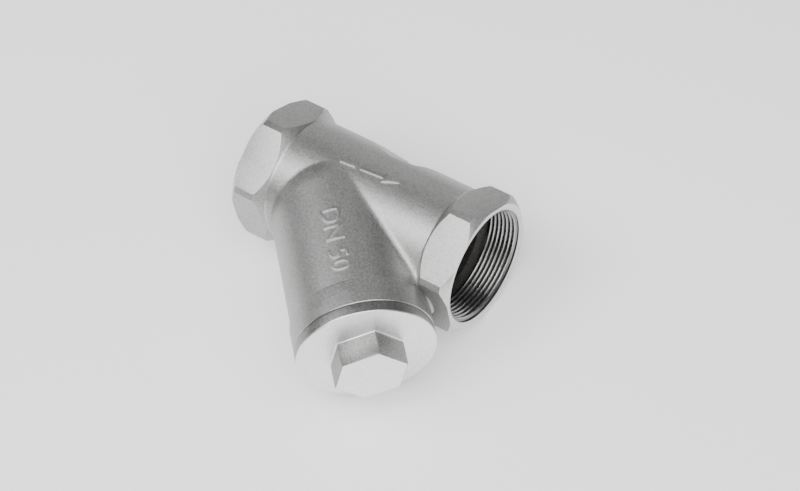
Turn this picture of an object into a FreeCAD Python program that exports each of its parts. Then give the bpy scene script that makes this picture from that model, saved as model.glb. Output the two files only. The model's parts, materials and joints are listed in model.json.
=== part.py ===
import FreeCAD, Part
import math
import os

# A 2 inch (DN50) screwed y strainer, in millimetres, lying on its side.
# The run lies along +X from the inlet face at x = 0 to the outlet face. The branch leaves the run
# in the XY plane, towards +X and -Y. +Z is the side that carries the flow arrow.

# run
RUN_LENGTH = 130.0
NECK_R = 31.8
RUN_BORE_R = 26.0

# hexagonal sockets, with a corner up and a flat to each side
HEX_ACROSS_FLATS = 65.0
HEX_LENGTH = 19.0
HEX_CORNER_FLAT = 3.5
HEX_FACE_R = 33.2
HEX_SHOULDER_R = 32.3

# pipe thread: the wall is modelled plain, at the thread's root
PIPE_THREAD_R = 29.81
PIPE_THREAD_LENGTH = 18.0
MOUTH_R = 30.9
MOUTH_CHAMFER_DEPTH = 0.5
RUNOUT_LENGTH = 2.5

# branch: t is the distance along it from where the two axes cross
BRANCH_X = 38.0
BRANCH_ANGLE = 45.0
BRANCH_R = 33.2
BRANCH_DOME_T = 15.0
COLLAR_R = 34.25
COLLAR_START_T = 78.0
COLLAR_STEP = 1.2
COLLAR_END_T = 92.0
CROTCH_FILLET = 4.0

# partition, seat and chamber
SEAT_T = 4.0
PARTITION_THICKNESS = 5.0
SEAT_HOLE_R = 21.5
SEAT_RECESS_R = 24.3
SEAT_RECESS_DEPTH = 2.5
CHAMBER_R = 28.5
CAP_THREAD_R = 30.0
CAP_THREAD_LENGTH = 12.0
GASKET_SEAT_R = 32.8
GASKET_SEAT_DEPTH = 1.2

# valley across the back of the run, behind the partition
VALLEY_TILT = 31.0
VALLEY_FLOOR_R = 29.7
VALLEY_FLOOR = (63.0, 75.0)
VALLEY_RIMS = (43.0, 84.0)
VALLEY_HALF_WIDTH = 22.0
VALLEY_RIM_RISE = 0.2

# raised flow arrow
ARROW_TAIL_X = 48.0
ARROW_TIP_X = 81.3
ARROW_HEAD_LENGTH = 8.6
ARROW_HEAD_WIDTH = 7.0
ARROW_BREAK = (57.0, 59.5)
ARROW_SHAFT_WIDTH = 2.3
ARROW_Y = 3.9
ARROW_TURN = 4.0
ARROW_HEIGHT = 0.7
ARROW_ROOT_DEPTH = 5.0
ARROW_HEAD_OVERLAP = 0.5

# cap
CAP_JOINT_T = 92.4
CAP_FLANGE_R = 34.3
CAP_FLANGE_THICKNESS = 5.9
CAP_FLANGE_EDGE = 0.4
CAP_HEX_ACROSS_FLATS = 32.4
CAP_HEX_PHASE = 19.9
CAP_HEX_END_T = 111.6
CAP_HEX_CORNER_FLAT = 0.8
CAP_HEX_TOP_R = 17.6
CAP_SPIGOT_R = 28.8
CAP_SPIGOT_LENGTH = 10.0
CAP_RECESS_R = 24.6
CAP_RECESS_END_T = 88.6
CAP_EDGE_BREAK = 0.8

# gasket
GASKET_INNER_R = 30.4
GASKET_OUTER_R = 32.5

# screen
SCREEN_OUTER_R = 23.3
SCREEN_SHEET = 0.7
MESH_GAP = 0.05
MESH_THICKNESS = 0.5
RING_OUTER_R = 24.0
RING_LENGTH = 4.0
SCREEN_END_GAP = 0.1

# how far a cutter passes a face, and how far one piece of a casting is sunk into another
OVERRUN = 1.0

X_AXIS = FreeCAD.Vector(1, 0, 0)
Z_AXIS = FreeCAD.Vector(0, 0, 1)
ORIGIN = FreeCAD.Vector(0, 0, 0)


def turned(outline):
    """Solid of revolution about X, from (x, radius) corners."""
    corners = [FreeCAD.Vector(x, 0, r) for x, r in outline]
    wire = Part.makePolygon(corners + corners[:1])
    return Part.Face(wire).revolve(ORIGIN, X_AXIS, 360)


def ring(x_start, x_end, r_outer, r_inner):
    return turned([(x_start, r_inner), (x_end, r_inner), (x_end, r_outer), (x_start, r_outer)])


def rod(x_start, x_end, r):
    return Part.makeCylinder(r, x_end - x_start, FreeCAD.Vector(x_start, 0, 0), X_AXIS)


def hex_bar(x_start, x_end, across_flats, corner_flat, phase=0.0):
    """Six-sided bar along X with a narrow flat along each corner. Phase 0 puts a corner at +Z."""
    corner_r = across_flats / math.sqrt(3)
    corners = []
    for i in range(7):
        angle = math.radians(60 * i + phase)
        corners.append(FreeCAD.Vector(x_start, corner_r * math.sin(angle), corner_r * math.cos(angle)))
    bar = Part.Face(Part.makePolygon(corners)).extrude(X_AXIS * (x_end - x_start))
    long_edges = [e for e in bar.Edges if abs(e.tangentAt(e.FirstParameter).x) > 0.99]
    return bar.makeChamfer(corner_flat / math.sqrt(3), long_edges)


def on_branch(shape):
    """Move a shape made about X, with t as its x, on to the branch."""
    moved = shape.copy()
    moved.rotate(ORIGIN, Z_AXIS, -BRANCH_ANGLE)
    moved.translate(FreeCAD.Vector(BRANCH_X, 0, 0))
    return moved


def mirrored_to_outlet(shape):
    return shape.mirror(FreeCAD.Vector(RUN_LENGTH / 2, 0, 0), X_AXIS)


def inlet_socket():
    """Hexagonal end whose corners are turned down to a circle at the face and at the shoulder."""
    corner_r = HEX_ACROSS_FLATS / math.sqrt(3)
    face_cut = corner_r - HEX_FACE_R
    shoulder_cut = corner_r - HEX_SHOULDER_R
    turned_down = turned([
        (0, 0),
        (0, HEX_FACE_R),
        (face_cut, corner_r),
        (HEX_LENGTH - shoulder_cut, corner_r),
        (HEX_LENGTH, HEX_SHOULDER_R),
        (HEX_LENGTH, 0),
    ])
    return hex_bar(0, HEX_LENGTH, HEX_ACROSS_FLATS, HEX_CORNER_FLAT).common(turned_down)


def branch_outside():
    """Branch with a ball end inside the run."""
    dome = Part.makeSphere(BRANCH_R, FreeCAD.Vector(BRANCH_DOME_T, 0, 0))
    barrel = rod(BRANCH_DOME_T, COLLAR_END_T, BRANCH_R)
    return on_branch(barrel.fuse(dome).removeSplitter())


def collar():
    """Slightly larger band at the branch's mouth."""
    return on_branch(turned([
        (COLLAR_START_T, 0),
        (COLLAR_START_T, BRANCH_R - OVERRUN),
        (COLLAR_START_T, BRANCH_R),
        (COLLAR_START_T + COLLAR_STEP, COLLAR_R),
        (COLLAR_END_T, COLLAR_R),
        (COLLAR_END_T, 0),
    ]))


def crotch_edges(shape):
    """Edges where the branch leaves the run: on the run's surface and not flat circles."""
    found = []
    for edge in shape.Edges:
        if edge.Degenerated:
            continue
        middle = edge.valueAt((edge.FirstParameter + edge.LastParameter) / 2)
        on_run = abs(math.hypot(middle.y, middle.z) - NECK_R) < 0.05
        if on_run and isinstance(edge.Curve, Part.BSplineCurve):
            found.append(edge)
    return found


def back_valley():
    """Cutter for the shallow flat-bottomed valley across the back of the run."""
    outside = 1.25 * NECK_R
    rim = NECK_R + VALLEY_RIM_RISE
    corners = [
        FreeCAD.Vector(VALLEY_RIMS[0], rim, -VALLEY_HALF_WIDTH),
        FreeCAD.Vector(VALLEY_FLOOR[0], VALLEY_FLOOR_R, -VALLEY_HALF_WIDTH),
        FreeCAD.Vector(VALLEY_FLOOR[1], VALLEY_FLOOR_R, -VALLEY_HALF_WIDTH),
        FreeCAD.Vector(VALLEY_RIMS[1], rim, -VALLEY_HALF_WIDTH),
        FreeCAD.Vector(VALLEY_RIMS[1], outside, -VALLEY_HALF_WIDTH),
        FreeCAD.Vector(VALLEY_RIMS[0], outside, -VALLEY_HALF_WIDTH),
    ]
    cutter = Part.Face(Part.makePolygon(corners + corners[:1])).extrude(Z_AXIS * 2 * VALLEY_HALF_WIDTH)
    cutter.rotate(ORIGIN, X_AXIS, VALLEY_TILT)
    return cutter


def upright(corners):
    """Upright prism through the top of the run, from (x, y) corners."""
    low = [FreeCAD.Vector(x, y, NECK_R - ARROW_ROOT_DEPTH) for x, y in corners]
    return Part.Face(Part.makePolygon(low + low[:1])).extrude(Z_AXIS * 2 * ARROW_ROOT_DEPTH)


def flow_arrow():
    """Raised arrow that points to the outlet, with a break in its shaft."""
    head_x = ARROW_TIP_X - ARROW_HEAD_LENGTH
    near = ARROW_Y - ARROW_SHAFT_WIDTH / 2
    far = ARROW_Y + ARROW_SHAFT_WIDTH / 2
    tail = [(ARROW_TAIL_X, near), (ARROW_BREAK[0], near), (ARROW_BREAK[0], far), (ARROW_TAIL_X, far)]
    shaft_end = head_x + ARROW_HEAD_OVERLAP
    shaft = [(ARROW_BREAK[1], near), (shaft_end, near), (shaft_end, far), (ARROW_BREAK[1], far)]
    half_head = ARROW_HEAD_WIDTH / 2
    head = [(head_x, ARROW_Y - half_head), (ARROW_TIP_X, ARROW_Y), (head_x, ARROW_Y + half_head)]
    prisms = upright(tail).multiFuse([upright(shaft), upright(head)])
    prisms.rotate(FreeCAD.Vector(ARROW_TIP_X, ARROW_Y, 0), Z_AXIS, ARROW_TURN)
    return prisms.common(rod(0, RUN_LENGTH, NECK_R + ARROW_HEIGHT))


def end_thread_bore():
    """Inlet threaded bore with its mouth chamfer and a short cone down to the run's bore."""
    thread_end = MOUTH_CHAMFER_DEPTH + PIPE_THREAD_LENGTH
    return turned([
        (-OVERRUN, 0),
        (-OVERRUN, MOUTH_R),
        (0, MOUTH_R),
        (MOUTH_CHAMFER_DEPTH, PIPE_THREAD_R),
        (thread_end, PIPE_THREAD_R),
        (thread_end + RUNOUT_LENGTH, RUN_BORE_R),
        (thread_end + RUNOUT_LENGTH, 0),
    ])


def block(t_start, t_end, u_start, u_end):
    """Box between two distances along the branch and two across it."""
    tall = 2 * NECK_R
    box = Part.makeBox(t_end - t_start, u_end - u_start, 2 * tall)
    box.translate(FreeCAD.Vector(t_start, u_start, -tall))
    return on_branch(box)


def water_space():
    """Everything that is hollow in the casting."""
    far = RUN_LENGTH
    bore = rod(HEX_LENGTH / 2, RUN_LENGTH - HEX_LENGTH / 2, RUN_BORE_R)
    inlet_side = bore.common(block(-far, SEAT_T - PARTITION_THICKNESS, -far, far))
    outlet_side = bore.common(block(SEAT_T, far, 0, far))
    chamber_outline = [
        (SEAT_T, 0),
        (SEAT_T, CHAMBER_R),
        (COLLAR_END_T - CAP_THREAD_LENGTH, CHAMBER_R),
        (COLLAR_END_T - CAP_THREAD_LENGTH, CAP_THREAD_R),
        (COLLAR_END_T - GASKET_SEAT_DEPTH, CAP_THREAD_R),
        (COLLAR_END_T - GASKET_SEAT_DEPTH, GASKET_SEAT_R),
        (COLLAR_END_T + OVERRUN, GASKET_SEAT_R),
        (COLLAR_END_T + OVERRUN, 0),
    ]
    seat_hole = rod(SEAT_T - PARTITION_THICKNESS - OVERRUN, SEAT_T + OVERRUN, SEAT_HOLE_R)
    seat_recess = rod(SEAT_T - SEAT_RECESS_DEPTH, SEAT_T + OVERRUN, SEAT_RECESS_R)
    threads = end_thread_bore()
    return threads.multiFuse([
        mirrored_to_outlet(threads),
        inlet_side,
        outlet_side,
        on_branch(turned(chamber_outline)),
        on_branch(seat_hole),
        on_branch(seat_recess),
    ])


def body_casting():
    neck = rod(OVERRUN, RUN_LENGTH - OVERRUN, NECK_R)
    outside = neck.fuse(branch_outside())
    outside = outside.makeFillet(CROTCH_FILLET, crotch_edges(outside))
    outside = outside.cut(back_valley())
    socket = inlet_socket()
    outside = outside.multiFuse([socket, mirrored_to_outlet(socket), collar(), flow_arrow()])
    return outside.cut(water_space())


def plug_cap():
    """Round flange with a hexagonal head outside and a hollow threaded spigot inside."""
    face_t = CAP_JOINT_T + CAP_FLANGE_THICKNESS
    spigot_start = CAP_JOINT_T - CAP_SPIGOT_LENGTH
    disc = turned([
        (spigot_start, CAP_RECESS_R),
        (spigot_start, CAP_SPIGOT_R - CAP_EDGE_BREAK),
        (spigot_start + CAP_EDGE_BREAK, CAP_SPIGOT_R),
        (CAP_JOINT_T, CAP_SPIGOT_R),
        (CAP_JOINT_T, CAP_FLANGE_R),
        (face_t - CAP_FLANGE_EDGE, CAP_FLANGE_R),
        (face_t, CAP_FLANGE_R - CAP_FLANGE_EDGE),
        (face_t, 0),
        (CAP_RECESS_END_T, 0),
        (CAP_RECESS_END_T, CAP_RECESS_R),
    ])
    head_start = face_t - OVERRUN
    head = hex_bar(head_start, CAP_HEX_END_T, CAP_HEX_ACROSS_FLATS, CAP_HEX_CORNER_FLAT, CAP_HEX_PHASE)
    corner_r = CAP_HEX_ACROSS_FLATS / math.sqrt(3)
    turned_down = turned([
        (head_start, 0),
        (head_start, corner_r),
        (CAP_HEX_END_T - (corner_r - CAP_HEX_TOP_R) / 2, corner_r),
        (CAP_HEX_END_T, CAP_HEX_TOP_R),
        (CAP_HEX_END_T, 0),
    ])
    return on_branch(disc.fuse(head.common(turned_down)))


def cap_gasket():
    seat = COLLAR_END_T - GASKET_SEAT_DEPTH
    return on_branch(ring(seat, CAP_JOINT_T, GASKET_OUTER_R, GASKET_INNER_R))


def screen_span():
    """Start and end of the screen along the branch."""
    start = SEAT_T - SEAT_RECESS_DEPTH + SCREEN_END_GAP
    return start, CAP_RECESS_END_T - SCREEN_END_GAP


def screen_tube():
    start, end = screen_span()
    return on_branch(ring(start, end, SCREEN_OUTER_R, SCREEN_OUTER_R - SCREEN_SHEET))


def screen_mesh():
    start, end = screen_span()
    outer = SCREEN_OUTER_R - SCREEN_SHEET - MESH_GAP
    return on_branch(ring(start, end, outer, outer - MESH_THICKNESS))


def screen_ring(start):
    return on_branch(ring(start, start + RING_LENGTH, RING_OUTER_R, SCREEN_OUTER_R))


def build():
    start, end = screen_span()
    pieces = {
        "body_casting": body_casting(),
        "plug_cap": plug_cap(),
        "cap_gasket": cap_gasket(),
        "screen_tube": screen_tube(),
        "screen_mesh": screen_mesh(),
        "screen_seat_ring": screen_ring(start),
        "screen_cap_ring": screen_ring(end - RING_LENGTH),
    }
    os.makedirs("parts", exist_ok=True)
    for name, shape in pieces.items():
        solid = shape.Solids[0]
        print(name, shape.isValid(), len(shape.Solids), round(solid.Volume / 1000, 2), "cm3")
        solid.exportStep(f"parts/{name}.step")


build()
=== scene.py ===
# %% [markdown]
# A screwed y strainer: a cast stainless run with two hexagonal threaded sockets, and an angled
# branch that holds a tubular screen behind a screw-in cap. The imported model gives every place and
# joint. The cells below make the visible pieces around it, in metres and in the same frame, so a
# piece needs no fitting.

import json
import math

import bmesh
import bpy
from mathutils import Matrix, Vector


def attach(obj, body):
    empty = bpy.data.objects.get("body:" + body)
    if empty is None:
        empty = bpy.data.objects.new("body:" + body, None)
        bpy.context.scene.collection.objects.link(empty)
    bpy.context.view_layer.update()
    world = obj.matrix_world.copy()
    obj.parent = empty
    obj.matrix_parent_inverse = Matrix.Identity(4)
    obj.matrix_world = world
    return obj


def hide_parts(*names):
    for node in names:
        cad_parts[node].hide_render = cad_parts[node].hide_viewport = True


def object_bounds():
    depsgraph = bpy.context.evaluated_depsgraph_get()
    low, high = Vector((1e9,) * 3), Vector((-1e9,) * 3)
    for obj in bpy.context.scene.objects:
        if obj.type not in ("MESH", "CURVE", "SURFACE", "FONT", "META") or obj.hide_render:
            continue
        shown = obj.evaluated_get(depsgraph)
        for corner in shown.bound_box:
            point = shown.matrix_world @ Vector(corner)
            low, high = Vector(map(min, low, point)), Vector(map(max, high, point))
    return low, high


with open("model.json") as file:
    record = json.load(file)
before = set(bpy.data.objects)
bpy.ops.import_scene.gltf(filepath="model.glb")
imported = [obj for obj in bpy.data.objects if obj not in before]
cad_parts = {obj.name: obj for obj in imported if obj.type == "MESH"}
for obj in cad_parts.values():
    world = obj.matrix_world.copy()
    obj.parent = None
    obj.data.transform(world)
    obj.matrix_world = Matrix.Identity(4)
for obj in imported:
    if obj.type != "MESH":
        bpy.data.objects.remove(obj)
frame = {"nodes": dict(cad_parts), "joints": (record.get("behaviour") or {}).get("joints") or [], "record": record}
cad_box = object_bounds()

# %% [markdown]
# The run lies along X and the branch along the axis of the cap's joint. Sizes that the model
# already holds are read from it, so that the two can't drift apart. The rest are lengths in
# millimetres, as on a drawing, and each is turned into metres where a piece is built.

# %% Main sizes, read from the frame
MM = 0.001
joints = {joint["name"]: joint for joint in frame["joints"]}
mounts = {mount["name"]: mount for mount in frame["record"]["mounts"]}
RUN_LENGTH = mounts["outlet_thread"]["pos_m"][0] / MM
PIPE_ROOT_R = mounts["outlet_thread"]["dims"]["r_mm"]
branch_axis = Vector(joints["cap_turn"]["axis"]).normalized()
cap_joint = Vector(joints["cap_turn"]["pos_m"])
crossing = cap_joint - branch_axis * (cap_joint.y / branch_axis.y)
CAP_JOINT_T = (cap_joint - crossing).length / MM
branch_turn = math.atan2(branch_axis.y, branch_axis.x)
ON_BRANCH = Matrix.Translation(crossing) @ Matrix.Rotation(branch_turn, 4, "Z")
print("run", round(RUN_LENGTH, 2), "crossing", tuple(crossing), "cap joint at", round(CAP_JOINT_T, 2))

# %% Sizes of the casting, in mm
NECK_R = 31.8
HEX_ACROSS_FLATS = 65.0
HEX_LENGTH = 19.0
HEX_CORNER_FLAT = 3.5
HEX_FACE_R = 33.2
SHOULDER_FILLET = 1.2
SHOULDER_END = 1.3
MOUTH_R = 30.9
MOUTH_CHAMFER = 0.5
THREAD_LENGTH = 18.0
RUN_BORE_R = 26.0
BRANCH_R = 33.2
DOME_T = 15.0
COLLAR_R = 34.25
COLLAR_START_T = 78.0
COLLAR_END_T = 92.0
COLLAR_ROUND = 0.8
COLLAR_EDGE = 0.3
COLLAR_SINK = 0.6
SEAT_T = 4.0
PARTITION = 5.0
SEAT_HOLE_R = 21.5
SEAT_RECESS_R = 24.3
SEAT_RECESS_T = 1.5
CHAMBER_R = 28.5
CAP_ROOT_R = 30.0
CAP_THREAD_START_T = 80
GASKET_SEAT_R = 32.8
GASKET_SEAT_T = 90.8

# %% [markdown]
# Most of the metal pieces are turned shapes, so the first helper spins an outline about X. The
# outline's corners are (distance along the axis, radius). Spinning with merge closes the seam, and
# merging doubles closes the poles where the outline touches the axis.


# %% Helpers: turned shapes and finished pieces
def turned(outline, steps=96):
    """A bmesh, in metres, of an outline of (x, radius) corners spun once about X."""
    bm = bmesh.new()
    corners = [bm.verts.new((x * MM, 0, r * MM)) for x, r in outline]
    sides = list(zip(corners, corners[1:] + corners[:1]))
    edges = [bm.edges.new(side) for side in sides if side[0].co.z or side[1].co.z]
    bmesh.ops.spin(
        bm, geom=corners + edges, cent=(0, 0, 0), axis=(1, 0, 0),
        angle=math.tau, steps=steps, use_merge=True,
    )
    bmesh.ops.remove_doubles(bm, verts=bm.verts, dist=1e-6)
    bmesh.ops.recalc_face_normals(bm, faces=bm.faces)
    return bm


def quarter(x, r, radius, start, end, steps=5):
    """Points of an arc about (x, r), between two angles in degrees."""
    angles = [math.radians(start + (end - start) * i / steps) for i in range(steps + 1)]
    return [(x + radius * math.cos(a), r + radius * math.sin(a)) for a in angles]


def as_object(bm, name, place=None):
    """Turn a bmesh into an object at the origin, with its place in the mesh."""
    if place is not None:
        bmesh.ops.transform(bm, matrix=place, verts=bm.verts)
    mesh = bpy.data.meshes.new(name)
    bm.to_mesh(mesh)
    bm.free()
    piece = bpy.data.objects.new(name, mesh)
    bpy.context.scene.collection.objects.link(piece)
    return piece


def bake_modifiers(piece):
    """Apply every modifier of a piece to its mesh."""
    graph = bpy.context.evaluated_depsgraph_get()
    mesh = bpy.data.meshes.new_from_object(piece.evaluated_get(graph), depsgraph=graph)
    old = piece.data
    piece.modifiers.clear()
    piece.data = mesh
    bpy.data.meshes.remove(old)
    return piece


def boolean(piece, tool, operation):
    """Join a tool to a piece, or cut it away or keep what they share, and drop the tool."""
    modifier = piece.modifiers.new(operation.lower(), "BOOLEAN")
    modifier.operation = operation
    modifier.solver = "EXACT"
    modifier.object = tool
    bake_modifiers(piece)
    bpy.data.objects.remove(tool)
    return piece


def edit(piece, change):
    """Run a change on a piece's mesh as a bmesh."""
    bm = bmesh.new()
    bm.from_mesh(piece.data)
    change(bm)
    bm.to_mesh(piece.data)
    bm.free()
    return piece


def shade(piece, angle=32):
    """Smooth shading that keeps edges sharper than the angle, in degrees, crisp."""
    piece.data.shade_smooth()
    piece.data.set_sharp_from_angle(angle=math.radians(angle))
    return piece


def round_edges(piece, width, segments=3, angle=25):
    """A small bevel along every edge sharper than the angle."""
    modifier = piece.modifiers.new("round", "BEVEL")
    modifier.width = width * MM
    modifier.segments = segments
    modifier.profile = 0.5
    modifier.limit_method = "ANGLE"
    modifier.angle_limit = math.radians(angle)
    modifier.use_clamp_overlap = True
    return bake_modifiers(piece)


def report(piece):
    low = [min(v.co[i] for v in piece.data.vertices) / MM for i in range(3)]
    high = [max(v.co[i] for v in piece.data.vertices) / MM for i in range(3)]
    bm = bmesh.new()
    bm.from_mesh(piece.data)
    unsound = sum(not e.is_manifold for e in bm.edges)
    bm.free()
    box = [round(c, 1) for c in low + high]
    print(piece.name, len(piece.data.polygons), "faces", box, unsound, "open edges")
    return piece


# %% [markdown]
# The run and the branch are one casting, and where they meet the metal flows from one round into
# the other. Two closed shapes are joined and remeshed to an even skin. A remesh leaves faint steps,
# so each point is then moved on to the true surface: a round about the run's axis, a round with a
# ball's end about the branch's, and a smooth blend of the two near the crease, which is the fillet.
# The blend narrows where the two rounds meet at a shallow angle, as a fillet of one radius does.

# %% The skin of the run and the branch
SKIN_VOXEL = 0.85
CREASE_BLEND = 3.8
LEAST_BLEND = 0.2
SKIN_END = 2.0
END_BAND = 0.6


def branch_place(point):
    """Distance along the branch and from its axis, in mm, of a point in metres."""
    from_crossing = point - crossing
    along = from_crossing.dot(branch_axis)
    return along / MM, (from_crossing - branch_axis * along).length / MM


def surface_gap(point):
    """How far a point is outside the blended surface, in mm, and the way out of it."""
    from_run = Vector((0, point.y, point.z))
    along = max((point - crossing).dot(branch_axis), DOME_T * MM)
    from_branch = point - crossing - branch_axis * along
    run_gap = from_run.length / MM - NECK_R
    branch_gap = from_branch.length / MM - BRANCH_R
    run_way = from_run.normalized()
    branch_way = from_branch.normalized()
    blend = max(CREASE_BLEND * (1 - run_way.dot(branch_way)), LEAST_BLEND)
    share = min(max(0.5 + (branch_gap - run_gap) / 2 / blend, 0), 1)
    gap = branch_gap + (run_gap - branch_gap) * share - blend * share * (1 - share)
    return gap, branch_way.lerp(run_way, share).normalized()


def settle(bm):
    """Move the skin's points on to the blended surface, apart from those on its flat ends."""
    moved = 0
    for v in bm.verts:
        on_run_end = min(v.co.x, RUN_LENGTH * MM - v.co.x) < (SKIN_END + END_BAND) * MM
        if on_run_end or branch_place(v.co)[0] > COLLAR_END_T - END_BAND:
            continue
        for _ in range(5):
            gap, way = surface_gap(v.co)
            v.co -= way * gap * MM
        moved += 1
    print("settled", moved, "points")


skin = as_object(turned([
    (SKIN_END, 0), (SKIN_END, NECK_R), (RUN_LENGTH - SKIN_END, NECK_R), (RUN_LENGTH - SKIN_END, 0),
]), "skin")
ball_end = quarter(DOME_T, 0, BRANCH_R, 180, 90, 18)
branch = turned([
    (DOME_T - BRANCH_R, 0),
    *ball_end[1:],
    (COLLAR_END_T, BRANCH_R),
    (COLLAR_END_T, 0),
])
boolean(skin, as_object(branch, "branch_form", ON_BRANCH), "UNION")
remesh = skin.modifiers.new("remesh", "REMESH")
remesh.mode = "VOXEL"
remesh.voxel_size = SKIN_VOXEL * MM
bake_modifiers(skin)
edit(skin, settle)
report(skin)

# %% [markdown]
# Across the back of the run, behind the slanted partition, the casting is drawn in to an even
# wall. It is a shallow valley: a smooth way down from the inlet's side, a small step, a flat land,
# and a short way up. The tool's outline is one face, extruded across the run and cut away.

# %% The valley at the back
VALLEY_TILT = 31.0
VALLEY_FLOOR_R = 29.7
VALLEY_STEP = 0.5
VALLEY_X = (43.0, 63.0, 75.0, 84.0)
VALLEY_HALF_WIDTH = 30.0
VALLEY_RIM_RISE = 0.05
VALLEY_STEP_RUN = 0.4
VALLEY_TOOL_RISE = 4
valley_out = Vector((0, math.cos(math.radians(VALLEY_TILT)), math.sin(math.radians(VALLEY_TILT))))


def ease(share):
    share = min(max(share, 0), 1)
    return share * share * (3 - 2 * share)


def way_down(share):
    """Depth of the way down, as a share of the whole: a soft start and a steeper end."""
    return math.sin(share * math.pi / 2) ** 2 * 0.55 + share ** 2 * 0.45


def valley_outline(steps=12):
    """The valley's outline as (x, distance from the run's axis)."""
    start, land_start, land_end, end = VALLEY_X
    rim = NECK_R + VALLEY_RIM_RISE
    depth = rim - VALLEY_FLOOR_R
    shares = [i / steps for i in range(steps + 1)]
    down = [(start + share * (land_start - start), rim - way_down(share) * depth) for share in shares]
    step = (land_start + VALLEY_STEP_RUN, VALLEY_FLOOR_R - VALLEY_STEP)
    up = [(land_end + share * (end - land_end), VALLEY_FLOOR_R + ease(share) * depth) for share in shares]
    above = rim + VALLEY_TOOL_RISE
    return down + [step] + up + [(end, above), (start, above)]


def valley_tool():
    across = valley_out.cross(Vector((1, 0, 0)))
    bm = bmesh.new()
    side = -across * VALLEY_HALF_WIDTH * MM
    outline = [side + valley_out * out * MM + Vector((x * MM, 0, 0)) for x, out in valley_outline()]
    corners = [bm.verts.new(place) for place in outline]
    face = bm.faces.new(corners)
    grown = bmesh.ops.extrude_face_region(bm, geom=[face])["geom"]
    moved = [g for g in grown if isinstance(g, bmesh.types.BMVert)]
    bmesh.ops.translate(bm, verts=moved, vec=across * 2 * VALLEY_HALF_WIDTH * MM)
    bmesh.ops.recalc_face_normals(bm, faces=bm.faces)
    return as_object(bm, "valley_tool")


report(boolean(skin, valley_tool(), "DIFFERENCE"))

# %% [markdown]
# Each socket is a hexagonal bar with a narrow flat along each corner. It is turned down to a cone at
# its face and at its shoulder, where a small fillet leads on to the run. A six-sided cone primitive
# gives the bar, a bevel of one segment gives the corner flats, and keeping what it shares with a
# turned shape cuts the cones, as a lathe does. A fine bevel then takes the sharpness off, as shot
# blasting does.

# %% Hexagonal sockets
SOCKET_SKIRT = 1.6
SOCKET_EDGE = 0.25
SOCKET_WELD = 0.03
LIE_ALONG_X = Matrix(((0, 0, 1, 0), (1, 0, 0, 0), (0, 1, 0, 0), (0, 0, 0, 1)))


def hex_bar(length):
    """Six-sided bar from the origin along X, with a corner at +Z."""
    corner_r = HEX_ACROSS_FLATS / math.sqrt(3) * MM
    bm = bmesh.new()
    bmesh.ops.create_cone(
        bm, cap_ends=True, segments=6, radius1=corner_r, radius2=corner_r, depth=length * MM,
    )
    long_edges = [e for e in bm.edges if abs(e.verts[0].co.z - e.verts[1].co.z) > 1e-6]
    bmesh.ops.bevel(
        bm, geom=long_edges, offset=HEX_CORNER_FLAT / math.sqrt(3) * MM, offset_type="OFFSET",
        segments=1, profile=0.5, material=-1, affect="EDGES",
    )
    middle = Matrix.Translation((length / 2 * MM, 0, 0))
    bmesh.ops.transform(bm, matrix=middle @ LIE_ALONG_X, verts=bm.verts)
    return bm


def socket(name):
    corner_r = HEX_ACROSS_FLATS / math.sqrt(3)
    bar = as_object(hex_bar(HEX_LENGTH + SOCKET_SKIRT), name)
    shoulder_start = HEX_LENGTH + NECK_R + 0.5 - corner_r - 1
    fillet = quarter(HEX_LENGTH + SHOULDER_END, NECK_R + SHOULDER_FILLET, SHOULDER_FILLET, 225, 270)
    turned_down = turned([
        (0, 0),
        (0, HEX_FACE_R),
        (corner_r - HEX_FACE_R + 1, corner_r + 1),
        (shoulder_start, corner_r + 1),
        *fillet,
        (HEX_LENGTH + SOCKET_SKIRT, NECK_R - 0.2),
        (HEX_LENGTH + SOCKET_SKIRT, 0),
    ], 144)
    boolean(bar, as_object(turned_down, "turned_down"), "INTERSECT")
    edit(bar, lambda bm: bmesh.ops.remove_doubles(bm, verts=bm.verts, dist=SOCKET_WELD * MM))
    return round_edges(bar, SOCKET_EDGE)


inlet_socket = report(socket("inlet_socket"))
outlet_socket = socket("outlet_socket")
to_outlet = Matrix.Translation((RUN_LENGTH * MM, 0, 0)) @ Matrix.Rotation(math.pi, 4, "Z")
outlet_socket.data.transform(to_outlet)

# %% [markdown]
# The band at the branch's mouth stands about a millimetre proud of the branch, with a short step.

# %% Collar and one casting
collar = turned([
    (COLLAR_START_T, 0),
    (COLLAR_START_T, BRANCH_R - COLLAR_SINK),
    *quarter(COLLAR_START_T + COLLAR_ROUND, COLLAR_R - COLLAR_ROUND, COLLAR_ROUND, 180, 90),
    (COLLAR_END_T - COLLAR_EDGE, COLLAR_R),
    (COLLAR_END_T, COLLAR_R - COLLAR_EDGE),
    (COLLAR_END_T, 0),
], 144)
for form in (as_object(collar, "collar", ON_BRANCH), inlet_socket, outlet_socket):
    boolean(skin, form, "UNION")
report(skin)


# %% [markdown]
# Inside, the casting is hollow: the two threaded sockets lead to the run's bore, and a slanted
# partition across the bore has the hole and recess where the screen sits. The three hollows are
# closed shapes cut out of the skin. The inlet and outlet hollows are turned, and then sliced by a
# plane and capped, so that the metal between them is the partition.

# %% Hollows
def sliced(bm, point, outward):
    """Cut away what lies on the outward side of a plane and close the cut."""
    cut = bmesh.ops.bisect_plane(
        bm, geom=bm.verts[:] + bm.edges[:] + bm.faces[:], dist=1e-7,
        plane_co=point, plane_no=outward, clear_outer=True,
    )
    rim = [e for e in cut["geom_cut"] if isinstance(e, bmesh.types.BMEdge)]
    bmesh.ops.contextual_create(bm, geom=rim)
    return bm


SEAT_HOLE_START_T = -12
MOUTH_RUNOUT = 2.5
INLET_DEPTH = 75
OUTLET_DEPTH = 95
TOOL_RISE = 2


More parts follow.
